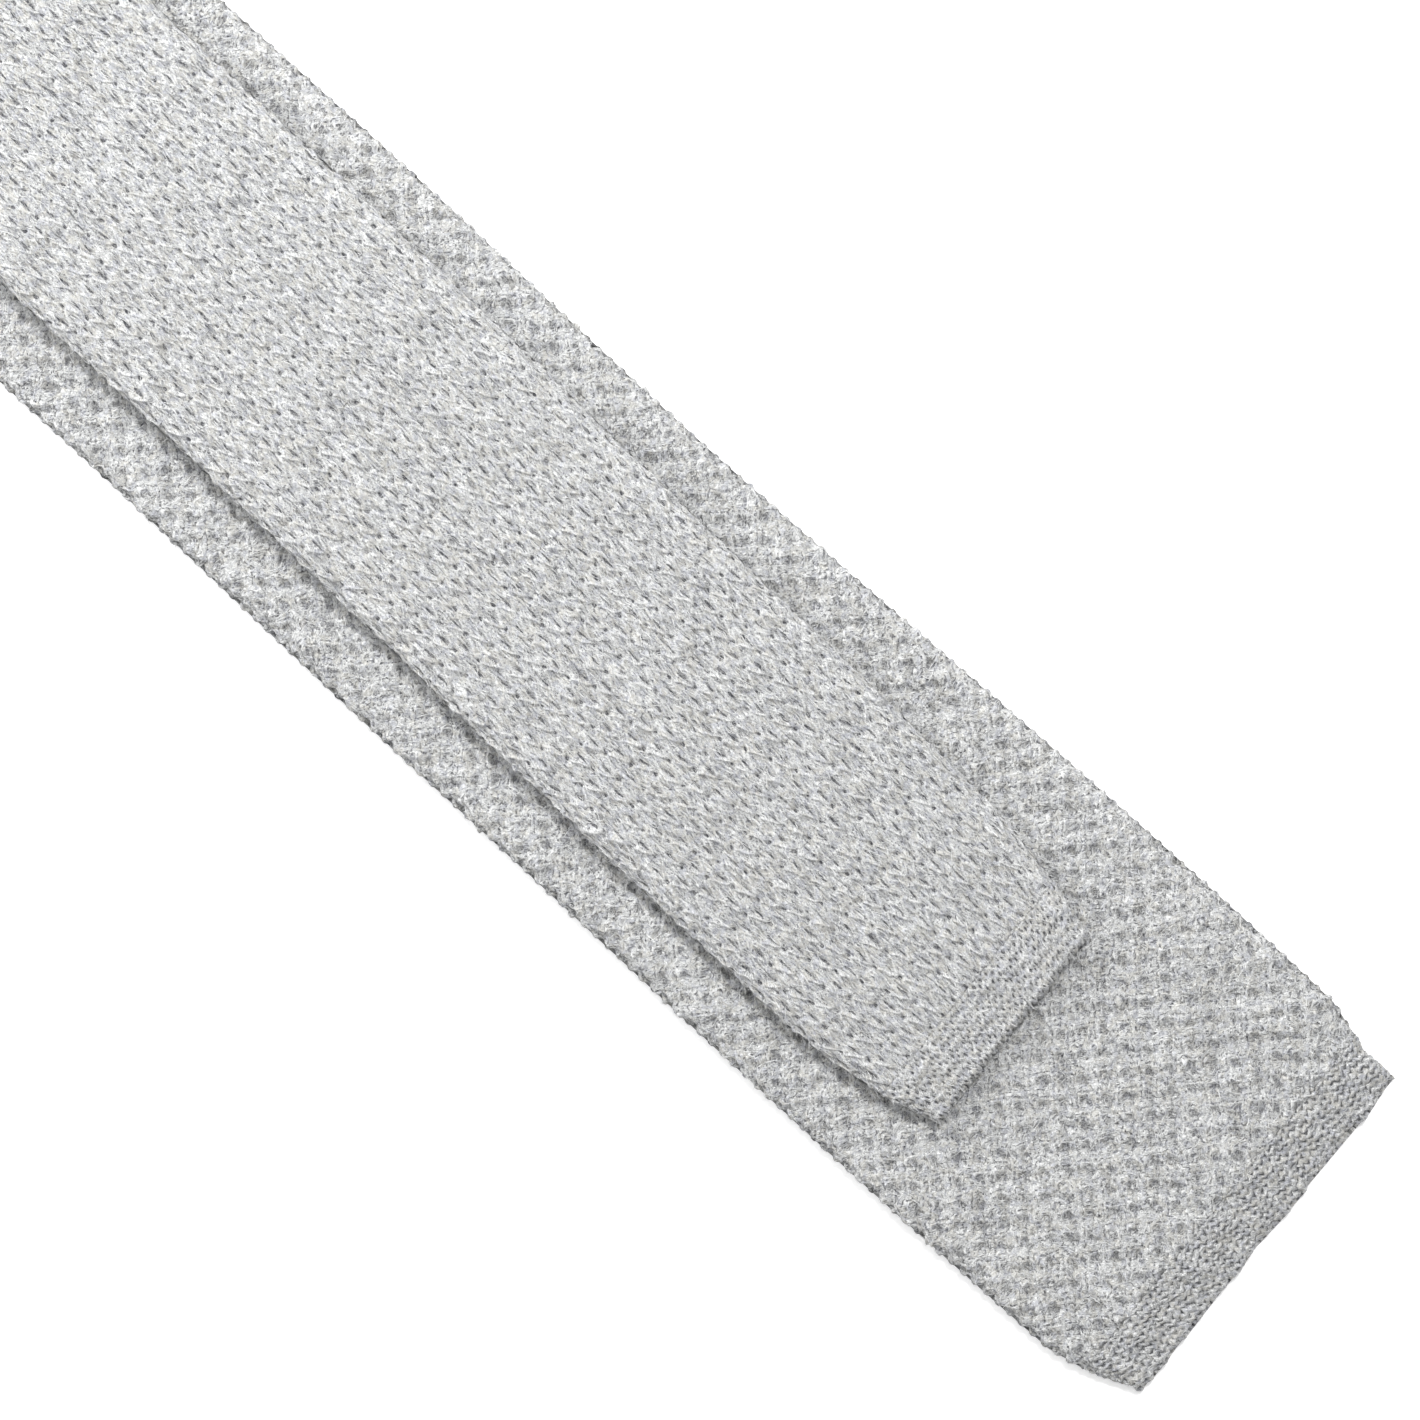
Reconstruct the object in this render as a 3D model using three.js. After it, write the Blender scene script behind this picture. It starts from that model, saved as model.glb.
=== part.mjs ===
// A square-ended knitted wool tie, folded in half at the neck and laid flat, narrow blade on top.
// Two knitted walls run the whole length and meet along both side edges, so the tie is a flattened
// tube with air between its walls. A band of closer plain knitting, the hem, shuts the tube at each end.
// Millimetres, +Z up. The wide end points to -Y, the neck fold to +Y, and the underside lies at Z = 0.
import * as THREE from "three";

// The cloth
const wallThickness = 1.6; // one knitted wall
const hollowHeight = 0.8; // air between the two walls
const seamGap = 0.3; // between the walls, where they meet along a side edge
const jointGap = 0.3; // between a wall's end and its hem
const edgeRound = 3.0; // how far in from a side edge the cloth starts to turn over

// The tie's lengths, measured along the middle of the cloth
const tieLength = 1450;
const bladeStagger = 43.7; // how far the wide end reaches past the narrow end
const wideHemLength = 8.0;
const narrowHemLength = 8.5;
const wideDrawIn = 14; // length over which the wide blade pulls in towards its hem
const narrowDrawIn = 24; // the same on the narrow blade

// Widths across the cloth
const wideWidth = 60;
const narrowWidth = 40.5;
const neckWidth = 34;
const wideEndWidth = 53.2;
const narrowEndWidth = 31.4;

// The hems
const hemThickness = 2.8; // over most of its length; it thickens towards the walls
const hemEndRound = 1.2; // length over which a hem's outer edge rounds off
const hemEndShare = 0.3; // how much of the thickness is left at the very edge

// How the tie lies
const layerGap = 0.3; // between the two blades
const foldRadius = 4.5; // at the middle of the cloth
const foldSettle = 70; // length over which the upper layer comes down from the fold

const tubeThickness = 2 * wallThickness + hollowHeight;

// Sections along the tie. along: share of the tie's length, counted from the wide end. width: share of
// the named width beside it. sway: sideways shift as a share of that width. skew: lean of the courses.
const bladeSections = [
  { along: 0.03, of: wideWidth, width: 1.0, sway: 0.0, skew: 2.0 },
  { along: 0.084, of: wideWidth, width: 0.962, sway: 0.005, skew: 0.8 },
  { along: 0.13, of: wideWidth, width: 0.955, sway: 0.03, skew: 0 },
  { along: 0.21, of: wideWidth, width: 0.93, sway: 0.04, skew: 0 },
  { along: 0.34, of: wideWidth, width: 0.79, sway: 0.025, skew: 0 },
  { along: 0.44, of: neckWidth, width: 1.1, sway: 0, skew: 0 },
  { along: 0.5, of: neckWidth, width: 1.0, sway: 0, skew: 0 },
  { along: 0.6, of: neckWidth, width: 1.02, sway: 0, skew: 0 },
  { along: 0.72, of: narrowWidth, width: 0.96, sway: 0.07, skew: 0 },
  { along: 0.83, of: narrowWidth, width: 1.0, sway: 0.11, skew: -0.5 },
  { along: 0.9, of: narrowWidth, width: 1.005, sway: 0.08, skew: -1.0 },
  { along: 0.96, of: narrowWidth, width: 1.0, sway: 0.007, skew: -1.8 },
];

// The ends narrow faster than the blades, over lengths of their own.
const wideHemShare = 0.44; // how much of the pull-in is left at the hem's inner edge
const narrowHemShare = 0.47;
const wideEndSections = [
  { at: 0, width: wideEndWidth, sway: 0.012 * wideWidth, skew: 2.6 },
  {
    at: wideHemLength,
    width: wideWidth - (wideWidth - wideEndWidth) * wideHemShare,
    sway: -0.006 * wideWidth,
    skew: 2.5,
  },
  { at: wideDrawIn, width: wideWidth * 0.993, sway: -0.003 * wideWidth, skew: 2.3 },
];
const narrowEndSections = [
  { at: tieLength - narrowDrawIn, width: narrowWidth * 0.982, sway: -0.022 * narrowWidth, skew: -2.6 },
  {
    at: tieLength - narrowHemLength,
    width: narrowWidth - (narrowWidth - narrowEndWidth) * narrowHemShare,
    sway: -0.033 * narrowWidth,
    skew: -2.9,
  },
  { at: tieLength, width: narrowEndWidth, sway: -0.036 * narrowWidth, skew: -3.0 },
];
const middleSections = bladeSections.map((row) => ({
  at: row.along * tieLength,
  width: row.width * row.of,
  sway: row.sway * row.of,
  skew: row.skew,
}));
const sections = [...wideEndSections, ...middleSections, ...narrowEndSections];

// A curve through one column of the table that never overshoots a row (monotone cubic).
function smoothColumn(column) {
  const at = sections.map((row) => row.at);
  const value = sections.map((row) => row[column]);
  const slope = at.slice(1).map((a, i) => (value[i + 1] - value[i]) / (a - at[i]));
  const tangent = at.map((_, i) => {
    if (i === 0 || i === at.length - 1) return slope[Math.min(i, slope.length - 1)];
    const [before, after] = [slope[i - 1], slope[i]];
    return before * after <= 0 ? 0 : (2 * before * after) / (before + after);
  });
  return (s) => {
    const last = at.length - 2;
    let i = at.findIndex((a) => a > s) - 1;
    if (i < 0) i = s < at[0] ? 0 : last;
    const span = at[i + 1] - at[i];
    const t = THREE.MathUtils.clamp((s - at[i]) / span, 0, 1);
    const rise = value[i + 1] - value[i];
    const bend = t * (1 - t) * ((1 - t) * (tangent[i] * span - rise) - t * (tangent[i + 1] * span - rise));
    return value[i] + rise * t + bend;
  };
}
const widthAt = smoothColumn("width");
const swayAt = smoothColumn("sway");
const skewAt = smoothColumn("skew");

// The middle of the cloth, seen from the side: flat under the wide blade, round the fold,
// down a gentle slope, and flat again under the narrow blade.
const lowerHeight = tubeThickness / 2;
const upperHeight = lowerHeight + tubeThickness + layerGap;
const foldTop = lowerHeight + 2 * foldRadius;
const slopeDrop = foldTop - upperHeight;
const slopeHeight = (t) => foldTop - slopeDrop * t * t * (3 - 2 * t);

const slopeSteps = 200;
const slopeLengths = [0];
for (let i = 1; i <= slopeSteps; i++) {
  const drop = slopeHeight(i / slopeSteps) - slopeHeight((i - 1) / slopeSteps);
  slopeLengths.push(slopeLengths[i - 1] + Math.hypot(foldSettle / slopeSteps, drop));
}
const slopeLength = slopeLengths[slopeSteps];
const foldLength = Math.PI * foldRadius;
const foldStart = (tieLength - foldLength - slopeLength + foldSettle + bladeStagger) / 2;
const foldEnd = foldStart + foldLength;
const slopeEnd = foldEnd + slopeLength;

// The point at length s, with the direction across the cloth that points into the fold.
function middleAt(s) {
  if (s <= foldStart) return { y: s, z: lowerHeight, inY: 0, inZ: 1 };
  if (s <= foldEnd) {
    const turn = (s - foldStart) / foldRadius;
    const [inY, inZ] = [-Math.sin(turn), Math.cos(turn)];
    return { y: foldStart - foldRadius * inY, z: lowerHeight + foldRadius * (1 - inZ), inY, inZ };
  }
  if (s < slopeEnd) {
    const found = slopeLengths.findIndex((length) => length >= s - foldEnd);
    const step = Math.max(found, 1);
    const [low, high] = [slopeLengths[step - 1], slopeLengths[step]];
    const t = (step - 1 + (s - foldEnd - low) / (high - low)) / slopeSteps;
    const tilt = Math.atan((slopeDrop * 6 * t * (1 - t)) / foldSettle);
    return { y: foldStart - foldSettle * t, z: slopeHeight(t), inY: Math.sin(tilt), inZ: -Math.cos(tilt) };
  }
  return { y: foldStart - foldSettle - (s - slopeEnd), z: upperHeight, inY: 0, inZ: -1 };
}

// Carries a point of a flat section onto the lying tie. x runs across, n through the cloth.
function onTie(s, x, n) {
  const lean = Math.tan(THREE.MathUtils.degToRad(skewAt(s)));
  const middle = middleAt(s + x * lean);
  return new THREE.Vector3(x + swayAt(s), middle.y + n * middle.inY, middle.z + n * middle.inZ);
}

// A solid through sections that all have the same number of points.
function loft(stations, sectionAt) {
  const outlines = stations.map((s) => sectionAt(s));
  const count = outlines[0].length;
  const positions = [];
  stations.forEach((s, i) => outlines[i].forEach((p) => positions.push(...onTie(s, p.x, p.y).toArray())));
  const faces = [];
  for (let ring = 0; ring < stations.length - 1; ring++) {
    for (let i = 0; i < count; i++) {
      const [a, b] = [ring * count + i, ring * count + ((i + 1) % count)];
      faces.push(a, b + count, b, a, a + count, b + count);
    }
  }
  const lastRing = (stations.length - 1) * count;
  for (const [a, b, c] of THREE.ShapeUtils.triangulateShape(outlines[0], [])) faces.push(a, b, c);
  for (const [a, b, c] of THREE.ShapeUtils.triangulateShape(outlines.at(-1), [])) {
    faces.push(lastRing + a, lastRing + c, lastRing + b);
  }
  const geometry = new THREE.BufferGeometry();
  geometry.setAttribute("position", new THREE.Float32BufferAttribute(positions, 3));
  geometry.setIndex(faces);
  geometry.computeVertexNormals();
  return geometry;
}

// A quarter of an ellipse from the side edge to where the cloth lies flat.
const edgeSteps = 5;
function quarterEdge(halfWidth, round, low, high) {
  const points = [];
  for (let i = 0; i <= edgeSteps; i++) {
    const turn = (i / edgeSteps) * (Math.PI / 2);
    const x = halfWidth - round * (1 - Math.cos(turn));
    points.push(new THREE.Vector2(x, low + (high - low) * Math.sin(turn)));
  }
  return points;
}
const mirrorX = (points) => points.map((p) => new THREE.Vector2(-p.x, p.y)).reverse();

// One wall's section: a shallow channel whose lips meet the other wall's at the side edges.
// The wall lies on the fold's inner side where towardFold is 1 and on its outer side where it is -1.
function wallSection(s, towardFold) {
  const halfWidth = widthAt(s) / 2;
  const lip = seamGap / 2;
  const outer = quarterEdge(halfWidth, edgeRound, lip, tubeThickness / 2);
  const innerHalf = halfWidth - wallThickness;
  const innerRound = Math.max(edgeRound - wallThickness, wallThickness / 2);
  const inner = [
    new THREE.Vector2(innerHalf, lip),
    new THREE.Vector2(innerHalf - innerRound, hollowHeight / 2),
  ];
  const outline = [...outer, ...mirrorX(outer), ...mirrorX(inner).reverse(), ...inner.slice().reverse()];
  return towardFold > 0 ? outline : outline.map((p) => new THREE.Vector2(p.x, -p.y)).reverse();
}

// A hem's section: both walls knitted into one flat band, resting on the layer's own underside.
// It is as thick as the tube where it meets the walls.
function hemSection(s, edge, inner, towardFold) {
  const inward = Math.abs(s - edge);
  const rounding = Math.min(inward / hemEndRound, 1);
  const endShape = Math.sqrt(1 - (1 - rounding) ** 2);
  const swell = THREE.MathUtils.smootherstep(inward / Math.abs(inner - edge), 0, 1);
  const fullThickness = hemThickness + (tubeThickness - hemThickness) * swell;
  const thickness = fullThickness * (hemEndShare + (1 - hemEndShare) * endShape);
  const [low, high] = [-tubeThickness / 2, -tubeThickness / 2 + thickness];
  const round = Math.min(edgeRound, hemThickness);
  const half = quarterEdge(widthAt(s) / 2, round, (low + high) / 2, high);
  const under = quarterEdge(widthAt(s) / 2, round, (low + high) / 2, low).slice(1);
  const right = [...under.reverse(), ...half];
  const outline = [...right, ...mirrorX(right)];
  return towardFold < 0 ? outline : outline.map((p) => new THREE.Vector2(p.x, -p.y)).reverse();
}

// Where the sections stand: close together in the pulled-in ends and the fold, wide apart elsewhere.
function stationsBetween(from, to, step) {
  const count = Math.max(1, Math.round((to - from) / step));
  return Array.from({ length: count }, (_, i) => from + ((to - from) * i) / count);
}
const straightStep = 45;
const endStep = 4;
const slopeStep = 9;
const foldSteps = 12;
const wallFrom = wideHemLength + jointGap;
const wallTo = tieLength - narrowHemLength - jointGap;
const wideEndReach = wideHemLength + 2 * wideDrawIn;
const narrowEndReach = tieLength - narrowHemLength - 2 * narrowDrawIn;
const wallStations = [
  ...stationsBetween(wallFrom, wideEndReach, endStep),
  ...stationsBetween(wideEndReach, foldStart, straightStep),
  ...stationsBetween(foldStart, foldEnd, foldLength / foldSteps),
  ...stationsBetween(foldEnd, slopeEnd, slopeStep),
  ...stationsBetween(slopeEnd, narrowEndReach, straightStep),
  ...stationsBetween(narrowEndReach, wallTo, endStep),
  wallTo,
];
const hemShares = [0, 0.15, 0.5, 1];
const hemBodySteps = 5;
function hemStations(edge, inner) {
  const direction = Math.sign(inner - edge);
  const rounded = hemShares.map((share) => edge + direction * hemEndRound * share);
  const reach = Math.abs(inner - edge) - hemEndRound;
  const body = Array.from({ length: hemBodySteps }, (_, i) => {
    return edge + direction * (hemEndRound + (reach * (i + 1)) / hemBodySteps);
  });
  const stations = [...rounded, ...body];
  return direction > 0 ? stations : stations.reverse();
}

const wool = { metalness: 0, roughness: 0.95 };
const honeycombWool = new THREE.MeshStandardMaterial({ ...wool, color: 0xb9bbbb });
const plainWool = new THREE.MeshStandardMaterial({ ...wool, color: 0xc6c8c8 });
const hemWool = new THREE.MeshStandardMaterial({ ...wool, color: 0xb3b5b6 });

function piece(name, geometry, material) {
  const mesh = new THREE.Mesh(geometry, material);
  mesh.name = name;
  return mesh;
}

const tie = new THREE.Group();
const narrowHemFrom = tieLength - narrowHemLength;
const wideHem = loft(hemStations(0, wideHemLength), (s) => hemSection(s, 0, wideHemLength, -1));
const narrowHem = loft(hemStations(tieLength, narrowHemFrom), (s) => hemSection(s, tieLength, narrowHemFrom, 1));
tie.add(
  piece("front_wall", loft(wallStations, (s) => wallSection(s, 1)), honeycombWool),
  piece("back_wall", loft(wallStations, (s) => wallSection(s, -1)), plainWool),
  piece("wide_end_hem", wideHem, hemWool),
  piece("narrow_end_hem", narrowHem, hemWool),
);

// The part's frame stands at the middle of its underside.
const extent = new THREE.Box3().setFromObject(tie);
tie.position.set(-(extent.min.x + extent.max.x) / 2, -(extent.min.y + extent.max.y) / 2, -extent.min.z);

export default tie;
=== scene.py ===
# %% [markdown]
# A knit tie is one long flattened tube of wool. It lies folded at the neck, so the photograph shows
# both faces of the same fabric: the honeycomb face on the wide blade below, and the staggered long
# stitches on the narrow blade on top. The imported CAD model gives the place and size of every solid.
# This script dresses those solids: it knits each face again as a fine mesh, and covers it with fibres.

import math
from functools import partialmethod

import bpy
import mathutils
import numpy as np
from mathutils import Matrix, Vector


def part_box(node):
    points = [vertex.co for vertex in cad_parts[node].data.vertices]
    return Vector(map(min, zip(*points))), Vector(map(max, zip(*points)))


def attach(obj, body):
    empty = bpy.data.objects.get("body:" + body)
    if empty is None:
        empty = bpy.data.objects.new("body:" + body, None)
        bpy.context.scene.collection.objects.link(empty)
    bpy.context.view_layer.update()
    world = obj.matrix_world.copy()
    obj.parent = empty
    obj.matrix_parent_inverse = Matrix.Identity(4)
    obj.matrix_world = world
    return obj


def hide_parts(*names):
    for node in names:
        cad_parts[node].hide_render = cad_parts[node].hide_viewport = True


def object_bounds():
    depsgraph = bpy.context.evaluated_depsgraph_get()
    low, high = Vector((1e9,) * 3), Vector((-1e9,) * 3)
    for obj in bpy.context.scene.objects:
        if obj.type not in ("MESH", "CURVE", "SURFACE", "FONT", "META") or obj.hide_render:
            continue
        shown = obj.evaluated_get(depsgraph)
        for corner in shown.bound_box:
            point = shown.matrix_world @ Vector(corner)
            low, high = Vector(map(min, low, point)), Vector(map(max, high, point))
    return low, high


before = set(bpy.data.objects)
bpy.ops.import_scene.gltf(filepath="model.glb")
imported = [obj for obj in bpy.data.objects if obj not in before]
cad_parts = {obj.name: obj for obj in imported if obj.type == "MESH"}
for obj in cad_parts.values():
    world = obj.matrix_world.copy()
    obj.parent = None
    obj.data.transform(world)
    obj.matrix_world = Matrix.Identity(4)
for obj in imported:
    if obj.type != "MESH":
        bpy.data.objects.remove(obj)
cad_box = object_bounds()
nodes = ("front_wall", "back_wall", "wide_end_hem", "narrow_end_hem")
for node in nodes:
    low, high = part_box(node)
    print(node, [round(1000 * (b - a), 1) for a, b in zip(low, high)], "mm")

MM = 0.001  # the lengths below are in millimetres, and Blender's are in metres

# %% [markdown]
# The camera comes first. The photograph looks straight down on the two ends of the tie, turned so
# that the blades cross the picture from its upper left to its lower right. A long lens keeps the
# view nearly flat. The view's width is the real width that it takes in.

# %% Camera
VIEW_WIDTH = 186.8
VIEW_TURN = -48.3  # degrees about the vertical
VIEW_FROM_WIDE_END = 102.9  # from the wide end's hem edge to the picture's middle
VIEW_ASIDE = 3.15  # from the wide blade's centre line
VIEW_LEVEL = 6.0  # the height at which the view has that width
LENS = 100.0
SENSOR = 36.0


def new_object(name, data):
    made = bpy.data.objects.new(name, data)
    bpy.context.collection.objects.link(made)
    return made


tie_low, tie_high = cad_box
camera_data = bpy.data.cameras.new("camera")
camera_data.lens = LENS
camera_data.sensor_width = SENSOR
camera_data.clip_end = 10
camera = new_object("camera", camera_data)
camera.location = (
    VIEW_ASIDE * MM,
    tie_low.y + VIEW_FROM_WIDE_END * MM,
    (VIEW_LEVEL + VIEW_WIDTH * LENS / SENSOR) * MM,
)
camera.rotation_euler = (0, 0, math.radians(VIEW_TURN))
bpy.context.scene.camera = camera
print("camera height", round(camera.location.z, 3), "m")

# %% [markdown]
# The cloth's shape follows the same rule as the CAD source: a table of sections along the tie gives
# its width, its sideways shift and the lean of its courses, and a path gives where the middle of the
# cloth lies. Worked out again here, each face can have as many rows and columns as its stitches need.

# %% Sizes of the tie
WALL_THICKNESS = 1.6
HOLLOW_HEIGHT = 0.8
SEAM_GAP = 0.3
EDGE_ROUND = 3.0
TIE_LENGTH = 1450.0
BLADE_STAGGER = 43.7
WIDE_HEM_LENGTH = 8.0
NARROW_HEM_LENGTH = 8.5
WIDE_DRAW_IN = 14.0
NARROW_DRAW_IN = 24.0
WIDE_WIDTH = 60.0
NARROW_WIDTH = 40.5
NECK_WIDTH = 34.0
WIDE_END_WIDTH = 53.2
NARROW_END_WIDTH = 31.4
HEM_THICKNESS = 2.8
HEM_END_ROUND = 1.2
HEM_END_SHARE = 0.3
LAYER_GAP = 0.3
FOLD_RADIUS = 4.5
FOLD_SETTLE = 70.0
TUBE_THICKNESS = 2 * WALL_THICKNESS + HOLLOW_HEIGHT

# Sections: distance along the tie, width, sideways shift, lean of the courses in degrees.
WIDE_HEM_WIDTH = WIDE_WIDTH - 0.44 * (WIDE_WIDTH - WIDE_END_WIDTH)
NARROW_HEM_WIDTH = NARROW_WIDTH - 0.47 * (NARROW_WIDTH - NARROW_END_WIDTH)
SECTIONS = (
    (0, WIDE_END_WIDTH, 0.012 * WIDE_WIDTH, 2.6),
    (WIDE_HEM_LENGTH, WIDE_HEM_WIDTH, -0.006 * WIDE_WIDTH, 2.5),
    (WIDE_DRAW_IN, 0.993 * WIDE_WIDTH, -0.003 * WIDE_WIDTH, 2.3),
    (0.03 * TIE_LENGTH, WIDE_WIDTH, 0, 2.0),
    (0.084 * TIE_LENGTH, 0.962 * WIDE_WIDTH, 0.005 * WIDE_WIDTH, 0.8),
    (0.13 * TIE_LENGTH, 0.955 * WIDE_WIDTH, 0.03 * WIDE_WIDTH, 0),
    (0.21 * TIE_LENGTH, 0.93 * WIDE_WIDTH, 0.04 * WIDE_WIDTH, 0),
    (0.34 * TIE_LENGTH, 0.79 * WIDE_WIDTH, 0.025 * WIDE_WIDTH, 0),
    (0.44 * TIE_LENGTH, 1.1 * NECK_WIDTH, 0, 0),
    (0.5 * TIE_LENGTH, NECK_WIDTH, 0, 0),
    (0.6 * TIE_LENGTH, 1.02 * NECK_WIDTH, 0, 0),
    (0.72 * TIE_LENGTH, 0.96 * NARROW_WIDTH, 0.07 * NARROW_WIDTH, 0),
    (0.83 * TIE_LENGTH, NARROW_WIDTH, 0.11 * NARROW_WIDTH, -0.5),
    (0.9 * TIE_LENGTH, 1.005 * NARROW_WIDTH, 0.08 * NARROW_WIDTH, -1.0),
    (0.96 * TIE_LENGTH, NARROW_WIDTH, 0.007 * NARROW_WIDTH, -1.8),
    (TIE_LENGTH - NARROW_DRAW_IN, 0.982 * NARROW_WIDTH, -0.022 * NARROW_WIDTH, -2.6),
    (TIE_LENGTH - NARROW_HEM_LENGTH, NARROW_HEM_WIDTH, -0.033 * NARROW_WIDTH, -2.9),
    (TIE_LENGTH, NARROW_END_WIDTH, -0.036 * NARROW_WIDTH, -3.0),
)


def smooth_column(column):
    """A curve through one column of the sections that never overshoots a row."""
    at = np.array([row[0] for row in SECTIONS], float)
    value = np.array([row[column] for row in SECTIONS], float)
    slope = np.diff(value) / np.diff(at)
    before, after = slope[:-1], slope[1:]
    total = np.where(before * after > 0, before + after, 1.0)
    inner = np.where(before * after > 0, 2 * before * after / total, 0.0)
    tangent = np.concatenate([slope[:1], inner, slope[-1:]])

    def curve(s):
        i = np.clip(np.searchsorted(at, s, side="right") - 1, 0, len(at) - 2)
        span = at[i + 1] - at[i]
        t = np.clip((s - at[i]) / span, 0, 1)
        rise = value[i + 1] - value[i]
        bend = (1 - t) * (tangent[i] * span - rise) - t * (tangent[i + 1] * span - rise)
        return value[i] + rise * t + t * (1 - t) * bend

    return curve


width_at = smooth_column(1)
sway_at = smooth_column(2)
lean_at = smooth_column(3)
print("widths at the ends and the neck", [round(float(width_at(s)), 1) for s in (0, 725, 1450)])

# %% [markdown]
# Seen from the side, the cloth runs flat under the wide blade, turns round the fold, comes down a
# gentle slope and runs back flat on top. Each point of the path also knows which way is across the
# cloth, so a point of a flat section can be carried onto the lying tie.

# %% The path of the lying tie
LOWER_HEIGHT = TUBE_THICKNESS / 2
UPPER_HEIGHT = LOWER_HEIGHT + TUBE_THICKNESS + LAYER_GAP
FOLD_TOP = LOWER_HEIGHT + 2 * FOLD_RADIUS
SLOPE_DROP = FOLD_TOP - UPPER_HEIGHT
SLOPE_STEPS = 200

slope_t = np.linspace(0, 1, SLOPE_STEPS + 1)
slope_height = FOLD_TOP - SLOPE_DROP * slope_t**2 * (3 - 2 * slope_t)
slope_run = np.hypot(FOLD_SETTLE / SLOPE_STEPS, np.diff(slope_height))
slope_lengths = np.concatenate([[0], np.cumsum(slope_run)])
FOLD_LENGTH = math.pi * FOLD_RADIUS
FOLD_START = (TIE_LENGTH - FOLD_LENGTH - slope_lengths[-1] + FOLD_SETTLE + BLADE_STAGGER) / 2
FOLD_END = FOLD_START + FOLD_LENGTH
SLOPE_END = FOLD_END + slope_lengths[-1]


def middle_at(s):
    """Where the middle of the cloth lies, and the direction across it that points into the fold."""
    turn = np.clip((s - FOLD_START) / FOLD_RADIUS, 0, math.pi)
    t = np.interp(s - FOLD_END, slope_lengths, slope_t)
    on_slope = (s > FOLD_END) & (s < SLOPE_END)
    tilt = np.where(on_slope, np.arctan(SLOPE_DROP * 6 * t * (1 - t) / FOLD_SETTLE), 0)
    in_y = np.sin(tilt) - np.sin(turn)
    in_z = np.where(s > FOLD_END, -np.cos(tilt), np.cos(turn))
    y = np.minimum(s, FOLD_START) + FOLD_RADIUS * np.sin(turn)
    y = y - FOLD_SETTLE * t - np.maximum(s - SLOPE_END, 0)
    rise = LOWER_HEIGHT + FOLD_RADIUS * (1 - np.cos(turn))
    z = np.where(s > FOLD_END, FOLD_TOP - SLOPE_DROP * t**2 * (3 - 2 * t), rise)
    return y, z, in_y, in_z


def on_tie(s, x, n):
    """Carries points of flat sections onto the lying tie: x runs across, n through the cloth."""
    y, z, in_y, in_z = middle_at(s + x * np.tan(np.radians(lean_at(s))))
    return np.stack([x + sway_at(s), y + n * in_y, z + n * in_z], axis=-1)


low_x = min(float(sway_at(s) - width_at(s) / 2) for s in np.arange(0, TIE_LENGTH, 1.0))
high_x = max(float(sway_at(s) + width_at(s) / 2) for s in np.arange(0, TIE_LENGTH, 1.0))
hem_corner = on_tie(np.zeros(2), np.array([-0.5, 0.5]) * WIDE_END_WIDTH, np.zeros(2))[:, 1].min()
SHIFT = np.array([-(low_x + high_x) / 2, tie_low.y / MM - hem_corner, 0])
print("shift onto the frame, mm", SHIFT.round(2), "fold at", round(FOLD_START, 1))

# %% [markdown]
# Each wall is a shallow channel: an outer face that shows its stitches, lips that meet the other wall
# along the side edges, and a plain inner face. The stitches that the photograph shows need points
# 0.3 mm apart, and the hidden rest doesn't. So a wall is made of zones, each with its own columns, and
# a zip of triangles joins each zone to the next.

# %% Rows and columns of a wall
LIP = SEAM_GAP / 2
FACE_TOP = TUBE_THICKNESS / 2
EDGE_ARC = math.pi / 2 * math.hypot(EDGE_ROUND, FACE_TOP - LIP) / math.sqrt(2)
INNER_ROUND = max(EDGE_ROUND - WALL_THICKNESS, WALL_THICKNESS / 2)


def spaced(start, stop, step):
    return np.linspace(start, stop, max(1, round((stop - start) / step)) + 1)


def face_reach(s):
    """Half of a face's width, measured over its rounded edge."""
    return width_at(s) / 2 - EDGE_ROUND + EDGE_ARC


def face_section(s, across):
    """The section's points: x across the blade and n through it, at lengths across its surface."""
    flat = width_at(s) / 2 - EDGE_ROUND
    turn = np.clip((np.abs(across) - flat) / EDGE_ARC, 0, 1) * math.pi / 2
    x = np.sign(across) * (np.minimum(np.abs(across), flat) + EDGE_ROUND * np.sin(turn))
    n = LIP + (FACE_TOP - LIP) * np.cos(turn)
    return x, n


def even_columns(step):
    def columns(s):
        count = round(2 * float(face_reach(s).max()) / step)
        return face_reach(s)[:, None] * np.linspace(-1, 1, count + 1)

    return columns


def margin_columns(step, hidden, hidden_step):
    """Fine columns on the two margins that show beside the blade on top, coarse ones under it."""

    def columns(s):
        reach = face_reach(s)[:, None]
        fine = np.linspace(0, 1, round((float(reach.max()) - hidden) / step) + 1)
        right = hidden + (reach - hidden) * fine
        middle = spaced(-hidden, hidden, hidden_step)[1:-1]
        middle = np.broadcast_to(middle, (len(s), len(middle)))
        return np.concatenate([-right[:, ::-1], middle, right], axis=1)

    return columns


def zip_rows(first, first_at, second, second_at):
    """Triangles between two rows of points whose columns don't match."""
    triangles = []
    i, j = 0, 0
    while i < len(first) - 1 or j < len(second) - 1:
        step_first = j == len(second) - 1
        if i < len(first) - 1 and j < len(second) - 1:
            step_first = first_at[i + 1] < second_at[j + 1]
        if step_first:
            triangles.append((first[i], second[j], first[i + 1]))
            i += 1
        else:
            triangles.append((first[i], second[j], second[j + 1]))
            j += 1
    return triangles


def quads_between(grid):
    """Quads over a grid of point numbers."""
    a, b, c, d = grid[:-1, :-1], grid[1:, :-1], grid[1:, 1:], grid[:-1, 1:]
    return np.stack([a, b, c, d], axis=-1).reshape(-1, 4)


print("a face is", round(2 * float(face_reach(100.0)), 1), "mm across, over its edges")

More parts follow.
